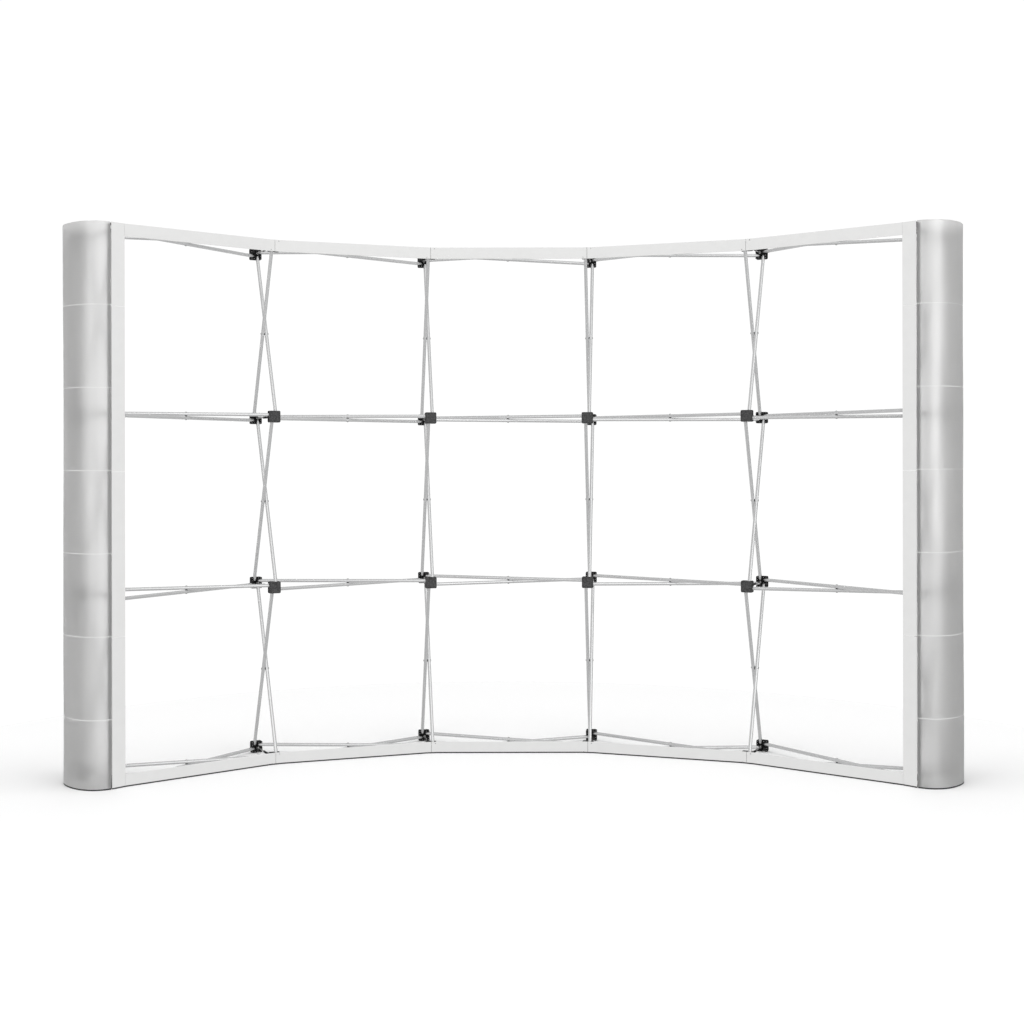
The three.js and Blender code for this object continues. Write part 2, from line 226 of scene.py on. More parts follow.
def half_turn(is_turned):
    """Half a turn about z, or none."""
    return Matrix.Rotation(math.pi if is_turned else 0, 4, "Z")


def column_frames():
    """Each column's frame, on the floor at the mid-plane: x along the wall, y outwards.

    Also the height of each row. Both come from the arms' joints, which end in c1_r1 and so on.
    """
    frames, heights = {}, {}
    for joint in frame["joints"]:
        column, row = (int(word[1:]) for word in joint["name"].split("_")[1:])
        sideways = -Vector(joint["axis"])
        outward = Z.cross(sideways)
        pivot = Vector(joint["pos_m"])
        origin = pivot - outward * ARM_PIVOT
        place = facing(sideways, outward, Z)
        place.translation = (origin.x, origin.y, 0)
        frames[column] = place
        heights[row] = pivot.z
    return frames, heights


COLUMNS, ROWS = column_frames()
FIRST, LAST = min(COLUMNS), max(COLUMNS)
TOP_ROW = max(ROWS)


def at(column, x, y, z):
    """A point in a column's frame."""
    return COLUMNS[column] @ Vector((x, y, z))


def hub_place(column, row, is_front):
    y = -PIN_GAP / 2 if is_front else PIN_GAP / 2
    return COLUMNS[column] @ Matrix.Translation((0, y, ROWS[row])) @ half_turn(not is_front)


def along(start, end):
    """The place of a form whose z axis runs from start towards end."""
    turn = (end - start).to_track_quat("Z", "X").to_matrix().to_4x4()
    return Matrix.Translation(start) @ turn


# Forms: lists of corners and faces.


def quarter_circle(centre, radius, first, steps=5):
    """Points (across, up) on a quarter of a circle that starts at an angle in degrees."""
    points = []
    for step in range(steps + 1):
        angle = math.radians(first + 90 * step / steps)
        points.append((centre[0] + radius * math.cos(angle), centre[1] + radius * math.sin(angle)))
    return points


def dome(radius, base, rise, shares):
    """Points (across, up) at shares of the way from a dome's rim to its top, and the top."""
    points = []
    for share in shares:
        angle = share * math.pi / 2
        points.append((radius * math.cos(angle), base + rise * math.sin(angle)))
    return [*points, (0, base + rise)]


def lathe(profile, sides, closed=False):
    """A profile of (radius, height) points, from low to high, turned about z."""
    corners, rings, faces = [], [], []
    for radius, height in profile:
        count = 1 if radius == 0 else sides
        rings.append([len(corners) + index for index in range(count)])
        for index in range(count):
            angle = index * 2 * math.pi / sides
            corners.append((radius * math.cos(angle), radius * math.sin(angle), height))
    following = rings[1:] + rings[:1] if closed else rings[1:]
    for low, high in zip(rings, following):
        for index in range(sides):
            after = (index + 1) % sides
            face = [low[index % len(low)], low[after % len(low)]]
            face += [high[after % len(high)], high[index % len(high)]]
            faces.append(list(dict.fromkeys(face)))
    return corners, faces


def inset(outline, distance):
    """The outline drawn in by a distance, each corner along its bisector."""
    moved = []
    for index, corner in enumerate(outline):
        before = (corner - outline[index - 1]).normalized()
        after = (outline[(index + 1) % len(outline)] - corner).normalized()
        inward = Vector((-before.y - after.y, before.x + after.x))
        moved.append(corner + inward * distance / (1 + before.dot(after)))
    return moved


def walls(count, loops):
    """The faces between loops of corners that follow each other, each loop with count corners."""
    faces = []
    for loop in range(loops - 1):
        low, high = loop * count, (loop + 1) * count
        for index in range(count):
            after = (index + 1) % count
            faces.append([low + index, low + after, high + after, high + index])
    return faces


def prism(outline, levels):
    """An outline raised through levels of (height, inset), closed at both ends."""
    corners = []
    for height, distance in levels:
        corners += [(point.x, point.y, height) for point in inset(outline, distance)]
    count = len(outline)
    ends = [list(range(count))[::-1], list(range(len(corners) - count, len(corners)))]
    return corners, walls(count, len(levels)) + ends


def rounded(corners, steps=4):
    """A closed outline through corners given as (x, y, radius), each cut by an arc."""
    outline = []
    for index, (x, y, radius) in enumerate(corners):
        corner = Vector((x, y))
        back = (Vector(corners[index - 1][:2]) - corner).normalized()
        ahead = (Vector(corners[(index + 1) % len(corners)][:2]) - corner).normalized()
        if radius == 0:
            outline.append(corner)
            continue
        half = back.angle(ahead) / 2
        centre = corner + (back + ahead).normalized() * radius / math.sin(half)
        start = corner + back * radius / math.tan(half) - centre
        sweep = (math.pi - 2 * half) * math.copysign(1, ahead.cross(back))
        for step in range(steps + 1):
            outline.append(centre + Matrix.Rotation(sweep * step / steps, 2) @ start)
    return outline


def rectangle(left, right, low, high, radius):
    corners = [(left, low), (right, low), (right, high), (left, high)]
    return rounded([(x, y, radius) for x, y in corners])


def rounding_drop(edge):
    """How far the middle of a rounded edge lies inside either face."""
    return edge * (1 - math.cos(math.pi / 4))


def softened(low, high, edge):
    """A prism's levels from low to high, with a rounded edge at either end."""
    drop = rounding_drop(edge)
    return [
        (low, edge),
        (low + drop, drop),
        (low + edge, 0),
        (high - edge, 0),
        (high - drop, drop),
        (high, edge),
    ]


SHARP_ANGLE = math.radians(38)  # an edge that turns further than this isn't shaded smooth


class Piece:
    """A mesh in the making, in one or more finishes."""

    def __init__(self, name, *finishes):
        self.name = name
        self.finishes = finishes
        self.corners, self.faces, self.finish, self.grain = [], [], [], []

    def add(self, form, place=Matrix(), finish=None):
        """Adds a form in one finish, or in a list of them, one for each face.

        Its finish is the piece's first by default. Its grain follows the form's own axes.
        """
        corners, faces = form
        start = len(self.corners)
        for corner in corners:
            self.corners.append(place @ Vector(corner))
            self.grain.append(Vector(corner) + place.translation)
        self.faces += [[start + index for index in face] for face in faces]
        finishes = finish if isinstance(finish, list) else [finish or self.finishes[0]] * len(faces)
        self.finish += [self.finishes.index(each) for each in finishes]

    def build(self, body, slot, *nodes):
        """Makes the object, riding on a body, in place of the nodes it stands for, whose parts it
        hides. The slot is not used.
        """
        mesh = bpy.data.meshes.new(self.name)
        mesh.from_pydata(self.corners, [], self.faces)
        for finish in self.finishes:
            mesh.materials.append(finish)
        mesh.polygons.foreach_set("material_index", self.finish)
        mesh.shade_smooth()
        mesh.set_sharp_from_angle(angle=SHARP_ANGLE)
        grain = mesh.attributes.new("grain", "FLOAT_VECTOR", "POINT")
        grain.data.foreach_set("vector", [value for point in self.grain for value in point])
        made = bpy.data.objects.new(self.name, mesh)
        bpy.context.scene.collection.objects.link(made)
        flat = made.modifiers.new("flat_faces", "WEIGHTED_NORMAL")
        flat.keep_sharp = True
        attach(made, body)
        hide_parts(*nodes)


# Shader nodes.


def feed(tree, source, socket):
    """Gives an input socket a value, or links it to the output that the source is."""
    if isinstance(source, bpy.types.NodeSocket):
        tree.links.new(source, socket)
    else:
        socket.default_value = source


def add_node(tree, kind, inputs, **settings):
    """A new node with its inputs fed and its settings made, such as an operation."""
    made = tree.nodes.new(kind)
    for setting, value in settings.items():
        setattr(made, setting, value)
    for socket, source in inputs.items():
        feed(tree, source, made.inputs[socket])
    return made


def grain_noise(tree, grain, scale):
    """A noise on a piece's grain, with its scale along each of three axes."""
    stretched = add_node(tree, "ShaderNodeVectorMath", {0: grain, 1: scale}, operation="MULTIPLY")
    inputs = {"Vector": stretched.outputs[0], "Scale": 1, "Detail": 4}
    return add_node(tree, "ShaderNodeTexNoise", inputs).outputs["Fac"]


def map_range(tree, value, source, target):
    """A value taken from one range of (low, high) to another."""
    made = add_node(tree, "ShaderNodeMapRange", {"Value": value})
    for socket, limit in zip(("From Min", "From Max", "To Min", "To Max"), (*source, *target)):
        made.inputs[socket].default_value = limit
    return made.outputs["Result"]


def colour_ramp(tree, factor, stops):
    """A ramp through stops of (position, colour)."""
    made = add_node(tree, "ShaderNodeValToRGB", {"Fac": factor})
    elements = made.color_ramp.elements
    for _ in stops[2:]:
        elements.new(0.5)
    for element, (position, colour) in zip(elements, stops):
        element.position = position
        element.color = (*colour, 1)
    return made.outputs["Color"]


# Finishes.


BROAD = 0.06  # the scale of a finish's broad noise, as a share of the fine one's
TONE_STOPS = (0.3, 0.7)  # the noise at which a finish has its dark and its light tone
ROUGHNESS_STOPS = (0.7, 1.3)  # the sum of both noises at which it is smoothest and roughest


def surface(name, tones, roughness, scale, relief, sockets):
    """A procedural finish. Two noises, fine and broad, vary its tone, roughness and relief.

    Scale is the fine noise's along x, y and z, and relief is a bump's strength and distance.
    """
    made = bpy.data.materials.new(name)
    made.use_nodes = True
    tree = made.node_tree
    grain = add_node(tree, "ShaderNodeAttribute", {}, attribute_name="grain").outputs["Vector"]
    fine = grain_noise(tree, grain, scale)
    broad = grain_noise(tree, grain, [value * BROAD for value in scale])
    both = add_node(tree, "ShaderNodeMath", {0: fine, 1: broad}, operation="ADD")
    strength, distance = relief
    bump_inputs = {"Strength": strength, "Distance": distance, "Height": fine}
    bump = add_node(tree, "ShaderNodeBump", bump_inputs)
    inputs = {
        "Base Color": colour_ramp(tree, broad, list(zip(TONE_STOPS, tones))),
        "Roughness": map_range(tree, both.outputs[0], ROUGHNESS_STOPS, roughness),
        "Normal": bump.outputs["Normal"],
        **sockets,
    }
    for socket, source in inputs.items():
        feed(tree, source, tree.nodes["Principled BSDF"].inputs[socket])
    return made


def drawn_aluminium():
    tones = ((0.8, 0.803, 0.807), (0.92, 0.923, 0.927))
    lengthwise = (1600, 1600, 22)
    sockets = {"Metallic": 0.7}
    return surface("drawn_aluminium", tones, (0.18, 0.28), lengthwise, (0.12, 0.1 * MM), sockets)


def bright_steel():
    tones = ((0.50, 0.50, 0.50), (0.66, 0.66, 0.65))
    sockets = {"Metallic": 1}
    return surface("bright_steel", tones, (0.2, 0.34), (700, 700, 700), (0.1, 0.1 * MM), sockets)


def black_nylon():
    tones = ((0.005, 0.005, 0.0055), (0.01, 0.01, 0.0105))
    sockets = {"Specular IOR Level": 0.14}
    return surface("black_nylon", tones, (0.5, 0.7), (1500, 1500, 1500), (0.3, 0.1 * MM), sockets)


def plate_nylon():
    """The spark-eroded face of the hubs' plates, greyer and coarser than the rest."""
    tones = ((0.022, 0.022, 0.0225), (0.09, 0.09, 0.091))
    sockets = {"Specular IOR Level": 0.4}
    return surface("plate_nylon", tones, (0.5, 0.7), (2600, 2600, 2600), (0.6, 0.3 * MM), sockets)


def white_satin():
    tones = ((0.795, 0.795, 0.79), (0.815, 0.815, 0.81))
    sockets = {"Coat Weight": 0.1}
    return surface("white_satin", tones, (0.34, 0.46), (420, 420, 420), (0.12, 0.1 * MM), sockets)


def silver_film():
    """The outer face of the end panels: half mirror, half window."""
    tones = ((0.76, 0.758, 0.755), (0.84, 0.838, 0.835))
    sockets = {"Metallic": 0.36, "Transmission Weight": 0.84, "IOR": 1.25}
    return surface("silver_film", tones, (0.3, 0.38), (60, 60, 9), (0.1, 0.2 * MM), sockets)


def clear_film():
    """The inner face of the end panels."""
    tones = ((0.93, 0.93, 0.925), (0.96, 0.96, 0.955))
    sockets = {"Transmission Weight": 0.85, "IOR": 1.25}
    return surface("clear_film", tones, (0.6, 0.7), (60, 60, 9), (0.1, 0.2 * MM), sockets)


def pale_line():
    tones = ((0.92, 0.92, 0.915), (0.97, 0.97, 0.965))
    return surface("pale_line", tones, (0.4, 0.5), (300, 300, 300), (0.1, 0.1 * MM), {})


# Painted shade: near black, for the strips that stand in for contact shadow at the floor and for
# shade inside the film's edges.
def painted_shade_dark():
    tones = ((0.03, 0.03, 0.03), (0.05, 0.05, 0.05))
    return surface("painted_shade_dark", tones, (0.7, 0.85), (900, 900, 900), (0.3, 0.1 * MM), {})


ALUMINIUM = drawn_aluminium()
STEEL = bright_steel()
NYLON = black_nylon()
FACE_NYLON = plate_nylon()
WHITE = white_satin()
PAINTED_SHADE_DARK = painted_shade_dark()
LINE = pale_line()
FILM = silver_film()
INNER_FILM = clear_film()


# The lattice's forms.


def tube_form(length):
    edge = TUBE_RADIUS - TUBE_ROUNDING
    profile = [(0, 0)]
    profile += quarter_circle((edge, TUBE_ROUNDING), TUBE_ROUNDING, -90)
    profile += quarter_circle((edge, length - TUBE_ROUNDING), TUBE_ROUNDING, 0)
    return lathe([*profile, (0, length)], TUBE_SIDES)


def rivet_form():
    """A shank with a domed head at either end, each with its foot inside a tube."""
    top = TUBE_STEP + TUBE_RADIUS + RIVET_RISE
    foot, rim = top - RIVET_FOOT, top - RIVET_DOME
    head = [(RIVET_RADIUS, foot), (RIVET_HEAD, foot), (RIVET_HEAD, rim)]
    head += dome(RIVET_HEAD, rim, RIVET_DOME, (0.3, 0.6, 0.85))
    return lathe([(radius, -height) for radius, height in head[::-1]] + head, RIVET_SIDES)


def ring_form(inner, outer, half, chamfer, sides):
    """A flat ring about its own middle, with the edges of its outer side cut."""
    profile = [(inner, -half), (outer - chamfer, -half), (outer, chamfer - half)]
    profile += [(outer, half - chamfer), (outer - chamfer, half), (inner, half)]
    return lathe(profile, sides, closed=True)


def washer_form():
    """The spacer on a rivet, between its two tubes."""
    half = TUBE_STEP - TUBE_RADIUS + WASHER_SINK
    return ring_form(RIVET_RADIUS, WASHER_RADIUS, half, WASHER_CHAMFER, RIVET_SIDES)


def pin_form(radius, length):
    """A pin about its own middle, with its ends chamfered."""
    half = length / 2
    side = [(0, half), (radius - PIN_CHAMFER, half), (radius, half - PIN_CHAMFER)]
    return lathe([(r, -z) for r, z in side] + side[::-1], PIN_SIDES)


def dome_form(radius, height):
    """A low dome on the plane z = 0."""
    return lathe([(0, 0), (radius, 0), *dome(radius, 0, height, (0.35, 0.7))], PIN_SIDES)


RIVET = rivet_form()
WASHER = washer_form()


def add_tube(piece, pins, past):
    low, high = pins
    reach = (high - low).normalized() * past
    piece.add(tube_form((high - low).length + 2 * past), along(low - reach, high + reach))


def add_crossing(piece, place):
    """The rivet and the washer where two tubes cross."""
    piece.add(RIVET, place, STEEL)
    piece.add(WASHER, place, NYLON)


# The hub.


def cheeks_form():
    """Four cheeks round four slots, each a quarter turn on, from the open rim into the plate."""
    near, far = TUBE_STEP - SLOT_HALF, TUBE_STEP + SLOT_HALF
    quarter = [
        (SLOT_END, -near, SLOT_ROUNDING),
        (HUB_HALF, -near, SLOT_MOUTH),
        (HUB_HALF, HUB_HALF, HUB_CORNER),
        (far, HUB_HALF, SLOT_MOUTH),
        (far, SLOT_END, SLOT_ROUNDING),
    ]
    corners = []
    for _ in range(4):
        corners += quarter
        quarter = [(-y, x, radius) for x, y, radius in quarter]
    root = HUB_FACE - PLATE_THICKNESS + OVERLAP
    levels = softened(-HUB_RIM, root, HUB_EDGE)[:-2]
    return prism(rounded(corners), [*levels, (root, 0)])


HUB_SQUARE = rectangle(-HUB_HALF, HUB_HALF, -HUB_HALF, HUB_HALF, HUB_CORNER)


def plate_form():
    """The face plate, which steps down inside its border."""
    levels = softened(HUB_FACE - PLATE_THICKNESS, HUB_FACE, HUB_EDGE)
    levels += [(HUB_FACE, PLATE_BORDER), (HUB_FACE - PLATE_SINK, PLATE_BORDER + PLATE_SINK / 2)]
    return prism(HUB_SQUARE, levels)


def inlay_form():
    """The square that fills the plate up to a groove inside its border."""
    outline = inset(HUB_SQUARE, PLATE_BORDER + INLAY_GROOVE)
    return prism(outline, softened(HUB_FACE - 2 * PLATE_SINK, HUB_FACE - INLAY_DROP, INLAY_EDGE))


def ear_form():
    root, tip = HUB_RIM - OVERLAP, EAR_REACH + EAR_TIP
    outline = rounded([
        (root, -EAR_ROOT, 0),
        (tip, -EAR_TIP, EAR_ROUNDING),
        (tip, EAR_TIP, EAR_ROUNDING),
        (root, EAR_ROOT, 0),
    ])
    return prism(outline, softened(EAR_NEAR, EAR_FAR, EAR_EDGE))


def ear_pin_form():
    """The pin through an ear, headed on the ear's outer side, along +z from its free end."""
    free = -ARM_HALF - ARM_PIN_PAST
    profile = [(0, free), (ARM_PIN_RADIUS - ARM_PIN_CHAMFER, free)]
    profile += [(ARM_PIN_RADIUS, free + ARM_PIN_CHAMFER), (ARM_PIN_RADIUS, EAR_FAR)]
    profile += [(radius, EAR_FAR + height) for radius, height in ARM_PIN_HEAD]
    return lathe(profile, RIVET_SIDES)


GATE_SEAT = Matrix.Translation((GATE_PLACE.x, GATE_HEIGHT / 2 - HUB_FACE, GATE_PLACE.y))
HUB_PARTS = (
    (cheeks_form(), FRONT_VIEW, NYLON),
    (plate_form(), FRONT_VIEW, FACE_NYLON),
    (inlay_form(), FRONT_VIEW, FACE_NYLON),
    (dome_form(GATE_RADIUS, GATE_HEIGHT), GATE_SEAT @ FRONT_VIEW, FACE_NYLON),
    (ear_form(), SIDE_VIEW, NYLON),
)
EAR_PIN = ear_pin_form()
TUBE_PIN = pin_form(PIN_RADIUS, PIN_LENGTH)
STUD = dome_form(STUD_RADIUS, STUD_HEIGHT)


def add_hub(hubs, metal, place, row):
    """One hub, its pins and the studs on its rim. Outer rows have no upright tubes outwards."""
    for form, turn, finish in HUB_PARTS:
        hubs.add(form, place @ turn, finish)
    ear = Matrix.Translation((0, EAR_REACH, 0))
    metal.add(EAR_PIN, place @ ear @ SIDE_VIEW)
    for up, has_tube in ((1, row < TOP_ROW), (-1, row > 1)):
        if has_tube:
            pin = Matrix.Translation((up * TUBE_STEP, 0, up * PIN_REACH))
            metal.add(TUBE_PIN, place @ pin @ SIDE_VIEW)
    rim = facing(X, -Z, Y)
    for quarter in range(4):
        turn = Matrix.Rotation(quarter * math.pi / 2, 4, "Y")
        for x, z in STUD_PLACES:
            metal.add(STUD, place @ turn @ Matrix.Translation((x, HUB_RIM, z)) @ rim)


# Level chains and upright pairs.


def is_front(letter, column):
    """Whether a chain has a front hub in a column: chain a in the odd ones, chain b between."""
    return (column % 2 == 1) == (letter == "a")


def level_tube(column, row, starts_front):
    """The two pin places of the tube from a column to the next."""
    side = -1 if starts_front else 1
    y, z = side * PIN_GAP / 2, ROWS[row] + side * TUBE_STEP
    return at(column, PIN_REACH, y, z), at(column + 1, -PIN_REACH, -y, z)


def build_chain(row, letter):
    """Six hubs of one row, front and rear in turn, and the five tubes that join them up."""
    name = f"row{row}_{letter}"
    hubs = Piece(f"hubs_{name}", NYLON, FACE_NYLON)
    metal = Piece(f"hub_pins_{name}", STEEL)
    tubes = Piece(f"level_tubes_{name}", ALUMINIUM, STEEL, NYLON)
    for column in COLUMNS:
        add_hub(hubs, metal, hub_place(column, row, is_front(letter, column)), row)
    for column in range(FIRST, LAST):
        starts_front = is_front(letter, column)
        own = level_tube(column, row, starts_front)
        add_tube(tubes, own, LEVEL_TUBE_END)
        if letter == "a":
            other = level_tube(column, row, not starts_front)
            crossing = geometry.intersect_line_line(*own, *other)
            add_crossing(tubes, Matrix.Translation((crossing[0] + crossing[1]) / 2))
    node = f"hub_chain_{name}"
    hubs.build("frame", "hub_plastic", node)
    metal.build("frame", "lattice_metal", node)
    tubes.build("frame", "tube_metal", node)


def build_upright_pair(column, row):
    """The two tubes that cross between two rows, and their rivet."""
    pair = Piece(f"upright_pair_c{column}_r{row}", ALUMINIUM, STEEL, NYLON)
    low, high = ROWS[row] + PIN_REACH, ROWS[row + 1] - PIN_REACH
    for side in (-1, 1):
        x, y = side * TUBE_STEP, side * PIN_GAP / 2
        add_tube(pair, (at(column, x, -y, low), at(column, x, y, high)), UPRIGHT_TUBE_END)
    middle = Matrix.Translation((0, 0, (low + high) / 2))
    add_crossing(pair, COLUMNS[column] @ middle @ SIDE_VIEW)
    pair.build("frame", "tube_metal", f"upright_tubes_c{column}_r{row}")


# Locking arms, drawn from the side as y and z, with the pivot at the origin.


def shank_form():
    """The moulded lever behind the hook, with a long pocket in either side."""
    start, end = -ARM_SPAN + HOOK_REACH, -ARM_SPAN * ROD_SHARE
    tall = ARM_HEIGHT / 2
    slim = tall - SHANK_TAPER
    outline = rounded([
        (start, -tall, 0),
        (end, -slim, SHANK_ROUNDING),
        (end, slim, SHANK_ROUNDING),
        (start, tall, 0),
    ])
    side = [
        (ARM_HALF - POCKET_DEPTH, POCKET_RIM),
        (ARM_HALF, POCKET_RIM - POCKET_SLOPE),
        (ARM_HALF, ARM_EDGE),
        (ARM_HALF - ARM_EDGE, 0),
    ]
    return prism(outline, [(-x, drawn) for x, drawn in side] + side[::-1])


def hook_form():
    """The arm's front end, which drops over the front ear's pin."""
    pin, seat, tall = -ARM_SPAN, ARM_PIN_RADIUS + ARM_CLEARANCE, ARM_HEIGHT / 2
    outline = rounded([
        (pin - HOOK_REACH, -HOOK_DROP, HOOK_NOSE),
        (pin - seat, -HOOK_DROP, HOOK_LIP),
        (pin - seat, seat, HOOK_THROAT),
        (pin + seat, seat, HOOK_THROAT),
        (pin + seat, -HOOK_DROP, HOOK_LIP),
        (pin + HOOK_REACH, -HOOK_DROP, HOOK_CHIN),
        (pin + HOOK_HEEL, -tall, HOOK_NECK),
        (pin + HOOK_TAIL, -tall, 0),
        (pin + HOOK_TAIL, tall, 0),
        (pin - HOOK_REACH, tall, HOOK_BROW),
    ])
    return prism(outline, softened(-ARM_HALF, ARM_HALF, ARM_EDGE))


def eye_form():
    """The metal eye on the arm's pivot pin."""
    inner, outer = ARM_PIN_RADIUS + ARM_CLEARANCE, ARM_HEIGHT / 2
    return ring_form(inner, outer, ARM_HALF, EYE_EDGE, EYE_SIDES)


def rod_part():
    """The rod from the eye into the shank, and its place."""
    start, end = OVERLAP - ARM_HEIGHT / 2, -ARM_SPAN * ROD_SHARE - ROD_HOLD
    place = Matrix.Translation((0, (start + end) / 2, 0)) @ facing(Z, X, Y)
    return pin_form(ROD_RADIUS, start - end), place


SHANK = shank_form()
HOOK = hook_form()
EYE = eye_form()
ROD, ROD_PLACE = rod_part()


def build_arm(column, row):
    name = f"c{column}_r{row}"
    arm = Piece(f"arm_lever_{name}", NYLON, STEEL)
    pivot = COLUMNS[column] @ Matrix.Translation((0, ARM_PIVOT, ROWS[row]))
    arm.add(SHANK, pivot @ SIDE_VIEW)
    arm.add(HOOK, pivot @ SIDE_VIEW)
    arm.add(EYE, pivot @ SIDE_VIEW, STEEL)
    arm.add(ROD, pivot @ ROD_PLACE, STEEL)
    arm.build(f"arm_{name}", "arm_plastic", f"locking_arm_{name}")


# Rails: five segments each, that meet in a seam at every hub between the end bars.


def band(stations, low, high, depth):
    """A flat band through stations of (back, front) points, with rounded front edges."""
    drop = rounding_drop(TRIM_EDGE)
    section = [(0, 0), (depth - TRIM_EDGE, 0), (depth - drop, drop), (depth, TRIM_EDGE)]
    section += [(out, high - low - height) for out, height in section[::-1]]
    corners = []
    for back, front in stations:
        outward = (front - back).normalized()
        for out, height in section:
            corners.append(back + outward * out + Vector((0, 0, low + height)))
    count = len(section)
    sides = [face[::-1] for face in walls(count, len(stations))]
    ends = [list(range(count)), list(range(len(corners) - count, len(corners)))[::-1]]
    return corners, sides + ends


def rail_station(column, x):
    """The points on a rail's back and on its front at one place along it."""
    back = -HUB_PLANE - TRIM_GAP
    return at(column, x, back, 0), at(column, x, back - TRIM_THICKNESS, 0)


def rail_segment(column):
    """The stations of the segment from a column to the next: its ends and its bends."""
    end = BAR_HALF + TRIM_GAP
    start = end if column == FIRST else RAIL_SEAM
    stop = end if column + 1 == LAST else RAIL_SEAM
    return [
        rail_station(column, start),
        rail_station(column, max(start, HUB_HALF) + RAIL_BEND),
        rail_station(column + 1, -max(stop, HUB_HALF) - RAIL_BEND),
        rail_station(column + 1, -stop),
    ]


FIXING = dome_form(FIXING_RADIUS, FIXING_HEIGHT)


def build_rail(name, low, row):
    rail = Piece(name, WHITE, STEEL, PAINTED_SHADE_DARK)
    # The bottom rail stands on a dark strip of painted contact shadow.
    foot = CONTACT_SHADOW_HEIGHT if low == 0 else 0
    for column in range(FIRST, LAST):
        stations = rail_segment(column)
        rail.add(band(stations, low + foot, low + RAIL_HEIGHT, TRIM_THICKNESS))
        if foot:
            rail.add(band(stations, 0, foot, TRIM_THICKNESS - CONTACT_SHADOW_INSET), finish=PAINTED_SHADE_DARK)
    for column in range(FIRST + 1, LAST):
        for side in (-1, 1):
            x, z = side * FIXING_OFFSET
            spot = Matrix.Translation((x, -TRIM_FACE, ROWS[row] + z))
            rail.add(FIXING, COLUMNS[column] @ spot @ FRONT_VIEW, STEEL)
    rail.build("frame", "white_trim", name)


# Bars: four sections each, on the outer faces of an end column's hubs.


def bar_sections():
    """The heights between which a bar's sections run, from the top down."""
    sections, top = [], HEIGHT
    bottom = HEIGHT - BAR_TOP_SECTION
    while bottom > 0:
        sections.append((bottom, top))
        top, bottom = bottom, bottom - BAR_SECTION
    sections.append((0, top))
    return sections


def build_bar(name, column, is_rear):
    bar = Piece(name, WHITE, PAINTED_SHADE_DARK)
    place = COLUMNS[column] @ half_turn(is_rear)
    outline = rectangle(-BAR_HALF, BAR_HALF, -TRIM_FACE, TRIM_THICKNESS - TRIM_FACE, TRIM_EDGE)
    for low, high in bar_sections():
        # The lowest section starts above a dark strip of painted contact shadow, added below.
        start = low + BAR_SEAM if low > 0 else CONTACT_SHADOW_HEIGHT
        stop = high - BAR_SEAM if high < HEIGHT else high
        bar.add(prism(outline, softened(start, stop, BAR_EDGE)), place)
    bar.add(prism(outline, [(0, CONTACT_SHADOW_INSET), (CONTACT_SHADOW_HEIGHT, CONTACT_SHADOW_INSET)]), place, PAINTED_SHADE_DARK)
    bar.build("frame", "white_trim", name)


# End panels: half an ellipse in plan, with level lines and a dark strip of painted contact shadow
# at the foot.


def plain_levels(start, stop):
    """Levels in even steps up plain film, from just above start to stop."""
    count = round((stop - start) / PANEL_LEVEL)
    return [(start + (stop - start) * step / count, 0, FILM) for step in range(1, count + 1)]


def film_levels():
    """Heights up a panel, each with how deep it lies in the film and the finish above it."""
    # The lowest band is a dark strip of painted contact shadow.
    levels = [(0, CONTACT_SHADOW_INSET, PAINTED_SHADE_DARK), (CONTACT_SHADOW_HEIGHT, CONTACT_SHADOW_INSET, FILM), (CONTACT_SHADOW_HEIGHT + PANEL_RIM / 2, 0, FILM)]
    for number in range(LINES, 0, -1):
        middle = HEIGHT - LINE_PITCH * number
        levels += plain_levels(levels[-1][0], middle - LINE_WIDTH / 2)
        levels += [
            (middle - LINE_WIDTH / 4, LINE_DEPTH, LINE),
            (middle + LINE_WIDTH / 4, LINE_DEPTH, FILM),
            (middle + LINE_WIDTH / 2, 0, FILM),
        ]
    levels += plain_levels(levels[-1][0], HEIGHT - PANEL_RIM)
    return [*levels, (HEIGHT - PANEL_RIM / 4, 0, FILM), (HEIGHT, PANEL_RIM / 4, FILM)]


def film_wave(angle, height):
    """How far the film lies inside its true curve: it never stands quite even."""
    held = math.cos(angle) ** 0.5
    drift = sum(shift * math.sin(rate * height + start) for shift, rate, start in WAVE_DRIFTS)
    return WAVE * held * (1 + math.sin(WAVE_TURN * angle + drift)) / 2


def film_point(depth, angle, height):
    """A point in a panel's own frame: x away from the bars, y from one edge to the other."""
    sunk = PANEL_INSET + depth + film_wave(angle, height)
    end = min(height, HEIGHT - height)
    slit = SLIT + SLIT_GAIN * math.exp(-end / SLIT_TAPER)
    across = slit + (PANEL_BULGE - slit - sunk) * math.cos(angle)
    return across, (TRIM_FACE - sunk) * math.sin(angle), height


def film_form():
    """The film from its outer to its inner face, and the finish of each face."""
    levels = film_levels()
    angles = [PANEL_EDGE * (2 * step / PANEL_STEPS - 1) for step in range(PANEL_STEPS + 1)]
    corners, finishes = [], []
    for height, sunk, _ in levels:
        corners += [film_point(sunk, angle, height) for angle in angles]
        corners += [film_point(PANEL_THICKNESS, angle, height) for angle in angles[::-1]]
    for _, _, outer in levels[:-1]:
        inner = INNER_FILM if outer == FILM else outer
        finishes += [outer] * len(angles) + [inner] * len(angles)
    count = 2 * len(angles)
    faces = walls(count, len(levels))
    top = len(corners) - count
    for step in range(PANEL_STEPS):
        strip = [step, step + 1, count - 2 - step, count - 1 - step]
        faces += [strip[::-1], [top + index for index in strip]]
        finishes += [levels[0][2], levels[-1][2]]
    return (corners, faces), finishes


